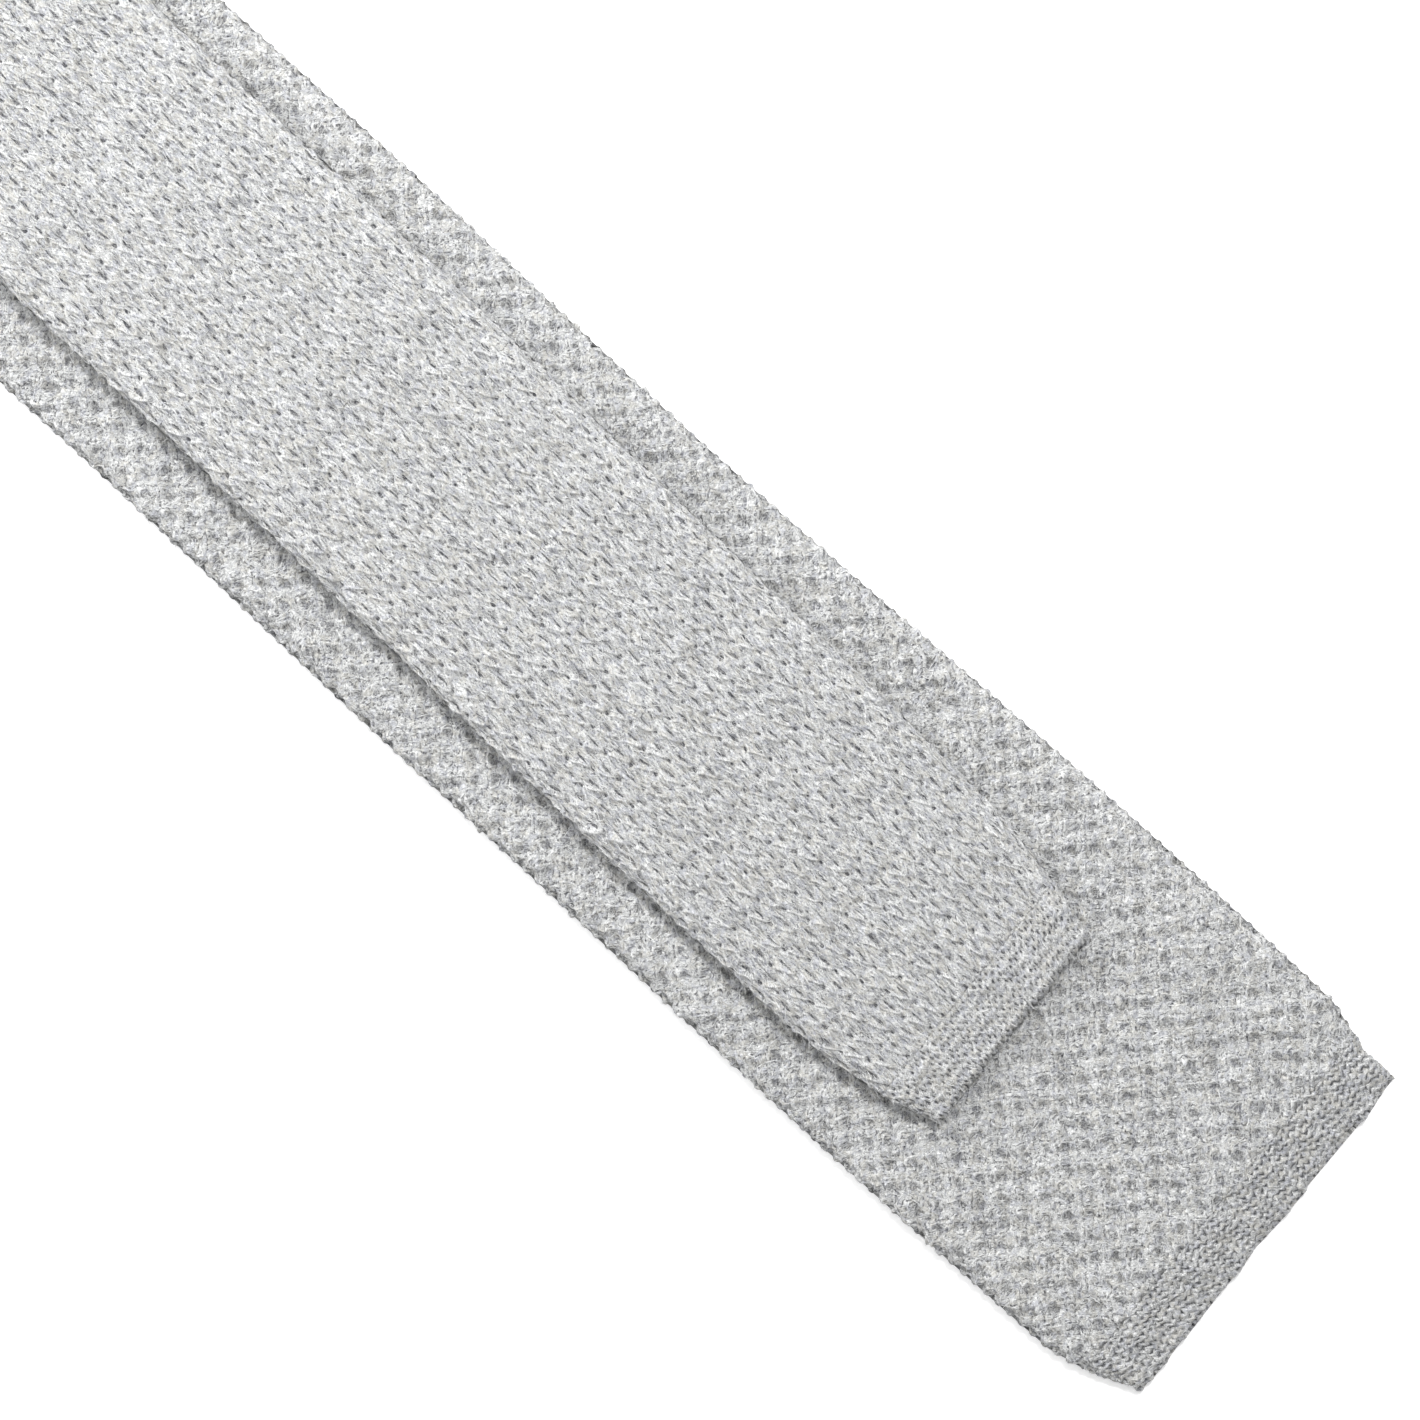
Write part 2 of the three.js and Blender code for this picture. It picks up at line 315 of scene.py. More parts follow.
# %% [markdown]
# The stitches are counted in wales, which run along the tie, and courses, which run across it. The
# number of wales stays the same from end to end, so where the tie is narrower its stitches are
# narrower too, and longer. Each point keeps two attributes: stitch counts wales and courses, and cloth
# gives the place on the unfolded fabric in millimetres. The relief and the materials both read them.

# %% Counting the stitches
COUNT_STEP = 0.5
count_at = np.arange(0, TIE_LENGTH + COUNT_STEP, COUNT_STEP)


def courses_at(s, pitch, pitch_width):
    """Courses counted from the wide end, for a pitch that is true where the tie has pitch_width."""
    per_mm = width_at(count_at) / (pitch * pitch_width)
    counted = np.concatenate([[0], np.cumsum(per_mm[1:] * COUNT_STEP)])
    return np.interp(s, count_at, counted)


# %% [markdown]
# One helper turns points and faces into a mesh. It adds the attribute outward, the direction in which
# the relief moves a point. That is the normal without the flat end caps, which would tip it over.

# %% Making a mesh
def make_mesh(name, points, faces, attributes):
    """A mesh from its points in millimetres on the unshifted tie, with its faces turned outwards."""
    mesh = bpy.data.meshes.new(name)
    mesh.from_pydata(((points + SHIFT) * MM).tolist(), [], faces)
    mesh.calc_loop_triangles()
    corners = np.array([t.vertices[:] for t in mesh.loop_triangles])
    a, b, c = (points[corners[:, k]] for k in range(3))
    turned = np.sign((a * np.cross(b, c)).sum())
    if turned < 0:
        mesh.flip_normals()
    owner = np.array([t.polygon_index for t in mesh.loop_triangles])
    skin = np.array([face.loop_total <= 4 for face in mesh.polygons])[owner]
    outward = np.zeros_like(points)
    for k in range(3):
        np.add.at(outward, corners[skin, k], turned * np.cross(b - a, c - a)[skin])
    outward /= np.linalg.norm(outward, axis=1)[:, None]
    for title, values in {**attributes, "outward": outward}.items():
        kind, key = ("FLOAT_VECTOR", "vector") if values.ndim == 2 else ("FLOAT", "value")
        mesh.attributes.new(title, kind, "POINT").data.foreach_set(key, values.ravel())
    mesh.shade_smooth()
    for face in mesh.polygons:
        face.use_smooth = face.loop_total <= 4  # the end caps keep their own flat normals
    print(name, len(corners), "triangles before its relief")
    return new_object(name, mesh)


# %% [markdown]
# A wall is rings of points across the blade: the columns of its outer face, and four more points for
# the plain inner side. Each course pushes a knitted edge out a little, so the edge is scalloped.

# %% Making a wall
LIP_FADE = 0.9  # the relief starts to fade this far from the lips
LIP_RELIEF = 0.9  # what stays of it at the lips
SCALLOP_MIDDLE = 0.7  # a scalloped edge goes out past this share of its wave, and in before it


def wall_mesh(name, side, zones, knit, relief_at):
    """A closed wall. side is 1 towards the fold's inside and -1 towards its outside."""
    wales, pitch, pitch_width, scallop = knit
    blocks, faces = [], []
    made, last = 0, None
    for stations, columns in zones:
        across = columns(stations)
        x, n = face_section(stations[:, None], across)
        rows, count = across.shape
        relief = relief_at(stations[:, None], across)
        waves = np.abs(np.sin(math.pi * courses_at(stations, pitch, pitch_width)))[:, None]
        near_edge = (np.abs(x) - width_at(stations)[:, None] / 2) / EDGE_ROUND + 1
        pushed = scallop * (waves - SCALLOP_MIDDLE) * np.clip(near_edge, 0, 1) ** 3
        x = x + np.sign(across) * pushed * relief
        inner_half = width_at(stations) / 2 - WALL_THICKNESS
        inner_flat = inner_half - INNER_ROUND
        inner_x = np.stack([inner_half, inner_flat, -inner_flat, -inner_half], axis=1)
        inner_n = np.broadcast_to([LIP, HOLLOW_HEIGHT / 2, HOLLOW_HEIGHT / 2, LIP], (rows, 4))
        ring_x = np.concatenate([x, inner_x], axis=1)
        ring_n = side * np.concatenate([n, inner_n], axis=1)
        ring_across = np.concatenate([across, inner_x], axis=1)
        s = np.broadcast_to(stations[:, None], ring_x.shape)
        wale = ring_across / face_reach(stations)[:, None] * wales / 2
        course = courses_at(s, pitch, pitch_width)
        zero = np.zeros_like(s)
        from_lip = face_reach(stations)[:, None] - np.abs(across)
        relief = relief * np.clip(from_lip / LIP_FADE, LIP_RELIEF, 1)
        relief = np.concatenate([relief, zero[:, :4]], axis=1)
        stitch = np.stack([wale, course, zero], axis=-1)
        cloth = np.stack([ring_across, s, zero + side], axis=-1)
        blocks.append((on_tie(s, ring_x, ring_n), stitch, cloth, relief))
        grid = made + np.arange(rows * (count + 4)).reshape(rows, count + 4)
        closed = np.concatenate([grid, grid[:, :1]], axis=1)
        faces += quads_between(closed).tolist()
        if last is not None:
            old, old_at = last
            faces += zip_rows(old[:-4], old_at, grid[0, :count], across[0])
            old_inner = np.concatenate([old[-5:], old[:1]])
            new_inner = np.concatenate([grid[0, count - 1 :], grid[0, :1]])
            faces += quads_between(np.stack([old_inner, new_inner])).tolist()
        else:
            faces.append(grid[0].tolist())
        last = (grid[-1], across[-1])
        made += grid.size
    faces.append(last[0][::-1].tolist())
    points, stitch, cloth = (np.concatenate([b[k].reshape(-1, 3) for b in blocks]) for k in range(3))
    relief = np.concatenate([block[3].ravel() for block in blocks])
    return make_mesh(name, points, faces, {"stitch": stitch, "cloth": cloth, "relief": relief})


# %% [markdown]
# The front wall is the honeycomb face. Its end shows whole, and further on only its two margins show
# beside the narrow blade. Past the picture's corner the relief fades out, and with it the fibres. A
# wall's knit is its wales, the length of a course, the width at which that length holds, and the depth
# of its scallops.

# %% Front wall
FAR_STEP = 5.0  # between the rows of a part with no relief
FAR_COLUMN = 2.2  # between its columns
FOLD_STEP = 0.8  # between the rows of the fold
SHOWN_LENGTH = 207.0  # of the wide blade, as far as the picture's corner
FADED_LENGTH = 247.0  # where the relief has faded out
FADE_LENGTH = FADED_LENGTH - SHOWN_LENGTH
FADE_STEP = 0.7
COVERED_HALF = 15.5  # the strip of the wide blade that the narrow one always hides
COVERED_STEP = 5.0
PAST_NARROW_HEM = 6.0  # the wide blade is fine all across as far as this behind the narrow hem
FINE = 0.33
HONEYCOMB_KNIT = (14.5, 2.03, WIDE_WIDTH, 0.7)

front_from = WIDE_HEM_LENGTH
front_whole = BLADE_STAGGER + NARROW_HEM_LENGTH + PAST_NARROW_HEM
wall_to = TIE_LENGTH - NARROW_HEM_LENGTH
fine_margins = margin_columns(FINE, COVERED_HALF, COVERED_STEP)
fading_margins = margin_columns(FADE_STEP, COVERED_HALF, COVERED_STEP)
front_zones = [
    (spaced(front_from, front_whole, FINE), even_columns(FINE)),
    (spaced(front_whole + FINE, SHOWN_LENGTH, FINE), fine_margins),
    (spaced(SHOWN_LENGTH + FINE, FADED_LENGTH, FADE_STEP), fading_margins),
    (spaced(FADED_LENGTH + FADE_STEP, FOLD_START - FOLD_STEP, FAR_STEP), even_columns(FAR_COLUMN)),
    (spaced(FOLD_START, SLOPE_END, FOLD_STEP), even_columns(FAR_COLUMN)),
    (spaced(SLOPE_END + FOLD_STEP, wall_to, FAR_STEP), even_columns(FAR_COLUMN)),
]


def front_relief_at(s, across):
    covered = (s > front_whole) & (np.abs(across) < COVERED_HALF)
    return np.where(covered, 0, np.clip((FADED_LENGTH - s) / FADE_LENGTH, 0, 1))


front = wall_mesh("honeycomb_wall", 1, front_zones, HONEYCOMB_KNIT, front_relief_at)

# %% [markdown]
# The back wall lies under the wide blade, goes round the outside of the fold and shows on top of the
# narrow blade, as rows of long staggered stitches.

# %% Back wall
NARROW_SHOWN = TIE_LENGTH - (SHOWN_LENGTH - BLADE_STAGGER)
NARROW_FADED = NARROW_SHOWN - FADE_LENGTH
LONG_STITCH_KNIT = (16.2, 3.42, NARROW_WIDTH, 0.15)
FINE_ACROSS = 0.28
FINE_ALONG = 0.36

back_zones = [
    (spaced(front_from, FOLD_START - FOLD_STEP, FAR_STEP), even_columns(FAR_COLUMN)),
    (spaced(FOLD_START, SLOPE_END, FOLD_STEP), even_columns(FAR_COLUMN)),
    (spaced(SLOPE_END + FOLD_STEP, NARROW_FADED - FADE_STEP, FAR_STEP), even_columns(FAR_COLUMN)),
    (spaced(NARROW_FADED, NARROW_SHOWN - FINE_ALONG, FADE_STEP), even_columns(FADE_STEP)),
    (spaced(NARROW_SHOWN, wall_to, FINE_ALONG), even_columns(FINE_ACROSS)),
]


def back_relief_at(s, across):
    return np.clip((s - NARROW_FADED) / FADE_LENGTH, 0, 1) * np.ones_like(across)


back = wall_mesh("long_stitch_wall", -1, back_zones, LONG_STITCH_KNIT, back_relief_at)

# %% [markdown]
# A hem is both walls knitted into one flat band of small plain stitches. It lies on its layer's own
# underside, is as thick as the tube where it meets the walls, and rounds off at the end of the tie.
# Its underside never shows, so it has few columns and no relief.

# %% Hems
HEM_FINE = 0.17
HEM_COLUMN = 0.19
HEM_UNDER_STEP = 2.0
HEM_END_ROWS = np.array([0, 0.04, 0.15, 0.3, 0.5, 0.75])  # as shares of the end's rounding


def hem_mesh(name, side, edge, inner, wales, course):
    """A closed hem. side is -1 for the wide end, whose face is on the fold's inside, else 1."""
    direction = np.sign(inner - edge)
    length = abs(inner - edge)
    end_rows = HEM_END_ROWS * HEM_END_ROUND
    inward = np.concatenate([end_rows, spaced(HEM_END_ROUND, length, HEM_FINE)])
    stations = edge + direction * inward
    end_shape = np.sqrt(1 - (1 - np.minimum(inward / HEM_END_ROUND, 1)) ** 2)
    t = inward / length
    swell = t**3 * (t * (6 * t - 15) + 10)
    thickness = HEM_THICKNESS + (TUBE_THICKNESS - HEM_THICKNESS) * swell
    thickness = (thickness * (HEM_END_SHARE + (1 - HEM_END_SHARE) * end_shape))[:, None]
    half = width_at(stations)[:, None] / 2
    edge_round = min(EDGE_ROUND, HEM_THICKNESS)
    arc = math.pi / 2 * math.hypot(edge_round, HEM_THICKNESS / 2) / math.sqrt(2)
    reach = half - edge_round + arc
    fine = np.linspace(-1, 1, round(2 * float(reach.max()) / HEM_COLUMN) + 1)
    coarse = np.linspace(1, -1, round(2 * float(reach.max()) / HEM_UNDER_STEP) + 1)[1:-1]
    across = reach * np.concatenate([fine, coarse])
    turn = np.clip((np.abs(across) - half + edge_round) / arc, 0, 1) * math.pi / 2
    flat = np.minimum(np.abs(across), half - edge_round)
    x = np.sign(across) * (flat + edge_round * np.sin(turn))
    over = np.concatenate([np.ones(len(fine)), -np.ones(len(coarse))])
    height = thickness / 2 * (1 + over * np.cos(turn))
    n = -side * (height - TUBE_THICKNESS / 2)
    s = np.broadcast_to(stations[:, None], x.shape)
    relief = np.where(over > 0, 1.0, 0.0) * np.ones_like(x)
    stitch = np.stack([across / reach * wales / 2, np.abs(s - edge) / course, 0 * s], axis=-1)
    cloth = np.stack([across, s, 0 * s + over], axis=-1)
    points = on_tie(s, x, n).reshape(-1, 3)
    grid = np.arange(x.size).reshape(x.shape)
    faces = quads_between(np.concatenate([grid, grid[:, :1]], axis=1)).tolist()
    faces += [grid[0].tolist(), grid[-1, ::-1].tolist()]
    stitch, cloth = stitch.reshape(-1, 3), cloth.reshape(-1, 3)
    return make_mesh(name, points, faces, {"stitch": stitch, "cloth": cloth, "relief": relief.ravel()})


WIDE_HEM_WALES = 58.0
WIDE_HEM_COURSE = 0.98
NARROW_HEM_WALES = 31.0
NARROW_HEM_COURSE = 1.42
wide_hem = hem_mesh("purl_hem", -1, 0, WIDE_HEM_LENGTH, WIDE_HEM_WALES, WIDE_HEM_COURSE)
narrow_hem = hem_mesh("plain_hem", 1, TIE_LENGTH, wall_to, NARROW_HEM_WALES, NARROW_HEM_COURSE)

# %% [markdown]
# The relief and the materials are node trees that hold the same sums, so a small class writes them:
# it wraps a socket, and each operator on it adds one Math node. The same function can then build the
# height of a stitch in a Geometry Nodes tree, which moves the points, and in a material.

# %% Writing node trees
class Value:
    """A number in a node tree."""

    def __init__(self, graph, socket):
        self.graph = graph
        self.socket = socket

    def maths(self, operation, *others):
        inputs = dict(enumerate([self, *others]))
        return self.graph.add("ShaderNodeMath", {"operation": operation}, inputs).out(0)

    __add__ = __radd__ = partialmethod(maths, "ADD")
    __mul__ = __rmul__ = partialmethod(maths, "MULTIPLY")
    __sub__ = partialmethod(maths, "SUBTRACT")
    __truediv__ = partialmethod(maths, "DIVIDE")
    __pow__ = partialmethod(maths, "POWER")
    __abs__ = partialmethod(maths, "ABSOLUTE")

    def __neg__(self):
        return self * -1.0

    def __rsub__(self, other):
        return -self + other

    def wrapped(self, period):
        """The signed distance to the nearest multiple of the period."""
        return self.maths("WRAP", period / 2, -period / 2)

    def limited(self):
        """Kept between 0 and 1."""
        return self.maths("MAXIMUM", 0.0).maths("MINIMUM", 1.0)


class Node:
    """A node that was just added, with its outputs by number or name."""

    def __init__(self, graph, node):
        self.graph = graph
        self.node = node

    def out(self, key):
        return Value(self.graph, self.node.outputs[key])


class Graph:
    """A node tree under construction."""

    def __init__(self, tree):
        self.tree = tree

    def add(self, kind, settings=None, inputs=None):
        node = self.tree.nodes.new(kind)
        for title, setting in (settings or {}).items():
            setattr(node, title, setting)
        for key, given in (inputs or {}).items():
            if isinstance(given, Value):
                self.tree.links.new(given.socket, node.inputs[key])
            else:
                node.inputs[key].default_value = given
        return Node(self, node)

    def attribute(self, title, kind="FLOAT_VECTOR", output="Vector"):
        """A vector that is kept as an attribute of the surface."""
        if self.tree.type == "GEOMETRY":
            inputs = {"Name": title}
            return self.add("GeometryNodeInputNamedAttribute", {"data_type": kind}, inputs).out(0)
        return self.add("ShaderNodeAttribute", {"attribute_name": title}).out(output)

    def number(self, title):
        """A number that is kept so."""
        return self.attribute(title, "FLOAT", "Fac")

    def split(self, vector):
        node = self.add("ShaderNodeSeparateXYZ", inputs={0: vector})
        return node.out(0), node.out(1), node.out(2)

    def joined(self, x, y, z):
        return self.add("ShaderNodeCombineXYZ", inputs={0: x, 1: y, 2: z}).out(0)

    def vectors(self, operation, first, second):
        """Adds or crosses two vectors, or scales a vector by a number."""
        inputs = {0: first, "Scale" if operation == "SCALE" else 1: second}
        return self.add("ShaderNodeVectorMath", {"operation": operation}, inputs).out(0)

    def noise(self, vector, scale, detail=0.0, roughness=0.5):
        inputs = {"Vector": vector, "Scale": scale, "Detail": detail, "Roughness": roughness}
        return self.add("ShaderNodeTexNoise", inputs=inputs)


# %% [markdown]
# Every pattern is ridges and domes that repeat over counts of wales and courses. No two real stitches
# are alike, so the counts themselves wander by a smooth noise.

# %% Ridges and domes
def wandering(graph, stitch, amount, scale):
    """Stitch counts that drift a little."""
    drift = graph.noise(stitch, scale, 2.0, 0.6).out("Color")
    a, b, _ = graph.split(drift)
    u, v, _ = graph.split(stitch)
    return u + (a - 0.5) * (2 * amount), v + (b - 0.5) * (2 * amount)


def ridge(distance, half_width):
    """A rounded ridge: 1 on its crest and 0 from half its width outwards."""
    share = distance / half_width
    return (1.0 - share * share).maths("MAXIMUM", 0.0)


def oval(u, v, column, row, half_width, half_height, rows=2.0):
    """A dome over each repeat, which is one wale wide and two courses high."""
    x = (u - column).wrapped(1.0) / half_width
    y = (v - row).wrapped(rows) / half_height
    return (1.0 - x * x - y * y).maths("MAXIMUM", 0.0)


def higher(first, second, of_first, of_second):
    """The value that belongs to the higher of two ridges, turning over softly between them."""
    share = ((first - second) * 4.0 + 0.5).limited()
    return of_second + (of_first - of_second) * share


# %% [markdown]
# The honeycomb face is rows of puffs, each row shifted by half a repeat from the next. At both ends of
# a puff there is a small crinkled hole with a thin rim, and a pale thread arches over it, pale partly
# by painted light on its crest. Dark specks in the holes and along the seam above each arch are painted
# shade, and so are the dark gaps and spots among the rows of small loops that fill the rest. A stitch
# function gives the height from 0 to 1, and how the yarn leans, from -1 to 1. In a material broad is 1.
# The mesh is too coarse for specks and loops, so a broad over 1 leaves them out.

# %% Honeycomb stitches
PUFF_WIDTH = 0.43  # half a puff's width, in wales
PUFF_HEIGHT = 0.74  # half its height, in courses
HOLE_WIDTH = 0.125  # half a hole's width, in wales
HOLE_HEIGHT = 0.62  # half its height, in courses
RIM = 0.25  # half the width of the thin yarn round a hole, as a share of the hole
RIM_SPREAD = 1.5  # a rim's size, as a multiple of its hole's
CRINKLE_ACROSS = 0.30  # how far a hole's outline strays, in wales
CRINKLE_ALONG = 0.9  # and in courses
ARCH_TOP = 0.80  # how far an arch peaks over its hole, in courses
ARCH_SLOPE = 2.7  # in courses to a wale
ARCH_THREAD = 0.15  # half its thread's thickness, in courses
ARCH_REACH = 0.36  # half its width, in wales
SEAM_RISE = 0.24  # a seam's place over its arch, in courses
SEAM_THREAD = 0.13
SEAM_REACH = 0.42
CREASE = 0.12  # half a crease's width, as a difference of height
LOOPS = 4.0  # small loops to a wale
LOOP_SWING = 0.28  # in rows of loops


def honeycomb(graph, stitch, broad=1.0):
    u, v = wandering(graph, stitch, 0.27, 1.0)
    crinkle = graph.noise(graph.joined(u * 5.0, v * 2.5, 12.0), 1.0, 1.0).out("Color")
    to_side, to_end, _ = graph.split(crinkle)
    crinkled_u = u + (to_side - 0.5) * CRINKLE_ACROSS
    crinkled_v = v + (to_end - 0.5) * CRINKLE_ALONG
    hole_width = HOLE_WIDTH * broad
    rim_width = hole_width * RIM_SPREAD
    rim_height = HOLE_HEIGHT * RIM_SPREAD
    puffs, leans, holes, arches, rims, seams = [], [], [], [], [], []
    for column, row in ((0.0, 1.5), (0.5, 0.5)):
        puffs.append(oval(u, v, column + 0.5, row, PUFF_WIDTH, PUFF_HEIGHT))
        leans.append(((u - column - 0.5) * (2 * math.pi)).maths("SINE"))
        holes.append(oval(crinkled_u, crinkled_v, column, row, hole_width, HOLE_HEIGHT))
        around = oval(crinkled_u, crinkled_v, column, row, rim_width, rim_height)
        rims.append(ridge(around - 0.5, RIM))
        aside = abs((u - column).wrapped(1.0))
        over = (v - row).wrapped(2.0) - ARCH_TOP + aside * ARCH_SLOPE
        arches.append(ridge(over, ARCH_THREAD * broad) * ridge(aside, ARCH_REACH))
        seams.append(ridge(over - SEAM_RISE, SEAM_THREAD) * ridge(aside, SEAM_REACH))
    strength, elsewhere, shown = graph.split(graph.noise(stitch, 1.6, 1.0).out("Color"))
    lumps = graph.noise(graph.joined(u * 3.6, v * 1.8, 0.0), 1.0, 3.0, 0.65).out("Fac") - 0.5
    lumps = lumps + (graph.noise(graph.joined(u, v * 0.5, 4.0), 0.6, 2.0).out("Fac") - 0.5) * 1.2
    puff = puffs[0].maths("SMOOTH_MAX", puffs[1], 0.1).maths("SQRT")
    hole = (holes[0].maths("MAXIMUM", holes[1]) * 1.6).limited() * (strength * 3.2 - 0.85).limited()
    arch = arches[0].maths("MAXIMUM", arches[1]) * (shown * 4.0 - 1.4).limited()
    rim = rims[0].maths("MAXIMUM", rims[1]) * (elsewhere * 4.0 - 1.2).limited()
    crease = ridge(puffs[0] - puffs[1], CREASE * broad) * (elsewhere * 3.0 - 1.0).limited()
    thread = arch.maths("MAXIMUM", rim * 0.6)
    height = puff * 0.18 + thread * 0.50 + lumps * 0.5 + 0.46 - hole * 0.11 - crease * 0.25
    # Only the material gets these: painted shade as dark specks in the holes and along the seams, and as
    # dark gaps and spots between the small loops.
    if broad == 1.0:
        dots = graph.noise(graph.joined(u * 9.0, v * 4.5, 0.0), 1.0, 1.0).out("Fac")
        speck_shade_weight = seams[0].maths("MAXIMUM", seams[1]) * 1.4 + hole * 1.8 + 0.02
        height = height - ((0.50 - dots) * 12.0).limited() * speck_shade_weight * 0.85
        loop = u * LOOPS
        swing = (loop * (2 * math.pi)).maths("COSINE") * LOOP_SWING
        loop_row = v * 2.0 - swing - lumps * 0.8
        mottle = graph.noise(graph.joined(u * 1.9, v, 8.0), 1.0, 1.0).out("Color")
        lined, spotted, _ = graph.split(mottle)
        gap = ridge((loop_row - 0.5).wrapped(1.0), 0.2) * (lined * 4.5 - 1.8).limited()
        spot = oval(loop, loop_row, 0.5, 0.5, 0.22, 0.26, 1.0).maths("SQRT")
        spot = spot * (spotted * 5.0 - 2.3).limited()
        height = height - gap * 0.42 - spot * 0.65
    return height.limited(), higher(puffs[0], puffs[1], leans[0], leans[1])


# %% [markdown]
# On the other face the yarn shows as a zigzag. Each course is a row of steep legs, and the next course
# is shifted by half a repeat. Inside each V there is a dark slit, the V closes in a pale bridge, and
# under the bridge there is a small round hole. Pale upright strands fill the rest.

# %% Long stitches
LONG_STITCH_SWING = 0.36  # in courses
LEG_WIDTH = 0.12
SLIT_WIDTH = 0.07  # half a slit's width, in wales
SLIT_HEIGHT = 0.27  # half its height, in courses
SLIT_RISE = 0.10  # its middle, over the course's own line
DOT_WIDTH = 0.09
DOT_HEIGHT = 0.11
DOT_DROP = 0.53


def long_stitch(graph, stitch, broad=1.0):
    u, v = wandering(graph, stitch, 0.18, 1.1)
    v = -v
    zigzag = abs((u + 0.5).wrapped(1.0)) * 4.0 - 1.0
    angle = u * (2 * math.pi)
    swing = (zigzag * 0.75 + angle.maths("COSINE") * 0.25) * LONG_STITCH_SWING
    steep = abs(angle.maths("SINE")) * 1.3 + 0.85
    even = ridge((v - swing).wrapped(2.0), steep * LEG_WIDTH * broad)
    odd = ridge((v - 1.0 + swing).wrapped(2.0), steep * LEG_WIDTH * broad)
    legs = even.maths("MAXIMUM", odd)
    strands = graph.noise(graph.joined(u * 8.0, v * 1.3, 0.0), 1.0, 1.0).out("Fac") * 1.3 - 0.2
    strength = (graph.noise(stitch, 1.4, 1.0).out("Fac") * 4.2 - 1.25).limited()
    pits = []
    for column, row in ((0.5, 0.0), (0.0, 1.0)):
        pits.append(oval(u, v, column, row + SLIT_RISE, SLIT_WIDTH * broad, SLIT_HEIGHT))
        pits.append(oval(u, v, column, row - DOT_DROP, DOT_WIDTH * broad, DOT_HEIGHT * broad))
    pit = pits[0].maths("MAXIMUM", pits[1]).maths("MAXIMUM", pits[2].maths("MAXIMUM", pits[3]))
    height = legs.maths("MAXIMUM", strands) * 0.85 - pit.maths("SQRT") * strength * 0.8
    leaning = angle.maths("SINE").maths("SIGN")
    return height.limited(), higher(even, odd, -leaning, leaning)


# %% [markdown]
# The hems are plain knitting. The wide one shows its purl side, rows of short interlocked arcs with
# specks between them, and the narrow one its plain side, columns of small Vs.

# %% Hem stitches
def purl(graph, stitch, broad=1.0):
    u, v = wandering(graph, stitch, 0.5, 0.5)
    angle = u * (2 * math.pi)
    wave = angle.maths("COSINE") * 0.2 + (angle / 4.0).maths("SINE") * 0.3
    gaps = ridge((v - wave - 0.5).wrapped(1.0), 0.18 * broad)
    specks = oval(u, v - wave, 0.5, 0.5, 0.24 * broad, 0.26 * broad, 1.0)
    dashes = oval(u / 4.0, v - wave, 0.5, 0.5, 0.22, 0.26 * broad, 1.0)
    strength, elsewhere, shown = graph.split(graph.noise(stitch, 0.9, 1.0).out("Color"))
    specks = specks.maths("SQRT") * (strength * 5.0 - 1.9).limited()
    dashes = dashes.maths("SQRT") * (elsewhere * 5.0 - 2.2).limited()
    gaps = gaps * (shown * 3.0 - 0.7).limited()
    uneven = graph.noise(stitch, 0.8, 1.0).out("Fac") * 0.5
    height = uneven + 0.45 - gaps * 0.45 - specks.maths("MAXIMUM", dashes) * 0.65
    return height.limited(), angle.maths("SINE")


def plain(graph, stitch, broad=1.0):
    u, v = wandering(graph, stitch, 0.32, 0.7)
    across = u.wrapped(1.0)
    legs = ridge((v + abs(across) * 1.3).wrapped(1.0), 0.42)
    specks = oval(u, v, 0.0, 0.15, 0.15 * broad, 0.25 * broad, 1.0)
    specks = specks.maths("MAXIMUM", oval(u, v, 0.5, 0.5, 0.15 * broad, 0.25 * broad, 1.0))
    strength = (graph.noise(stitch, 1.0, 1.0).out("Fac") * 4.5 - 1.5).limited()
    uneven = graph.noise(stitch, 1.1, 1.0).out("Fac") * 0.6
    height = legs * 0.22 + uneven + 0.22 - (specks * 1.8).limited() * strength * 0.9
    return height.limited(), across.maths("SIGN")


# %% [markdown]
# One Geometry Nodes tree for each face moves its points along the attribute outward: the crest of a
# stitch stands at the CAD surface and a pit goes in by the relief's depth. The attribute relief thins
# it a little at the lips and fades it out past the picture's edge.

# %% Relief trees
SWELL_SCALE = 0.09  # gentle unevenness, about 11 mm from crest to crest
RIPPLE_SCALE = 0.42  # small unevenness that also makes the edges bumpy, about 2.4 mm
BROAD_PITS = 1.6
SOCKETS = {float: "NodeSocketFloat", int: "NodeSocketInt", type(None): "NodeSocketMaterial"}
RELIEF_INPUTS = {
    "Depth": 0.9 * MM,
    "Proud": 0.12 * MM,
    "Swell": 0.5 * MM,
    "Ripple": 1.0 * MM,
    "Material": None,
}


def new_tree(title, inputs):
    """A Geometry Nodes tree with the given inputs, its graph and its group input."""
    tree = bpy.data.node_groups.new(title, "GeometryNodeTree")
    tree.interface.new_socket("Geometry", in_out="INPUT", socket_type="NodeSocketGeometry")
    for name, default in inputs.items():
        kind = SOCKETS[type(default)]
        socket = tree.interface.new_socket(name, in_out="INPUT", socket_type=kind)
        if default is not None:
            socket.default_value = default
    tree.interface.new_socket("Geometry", in_out="OUTPUT", socket_type="NodeSocketGeometry")
    graph = Graph(tree)
    return tree, graph, graph.add("NodeGroupInput")


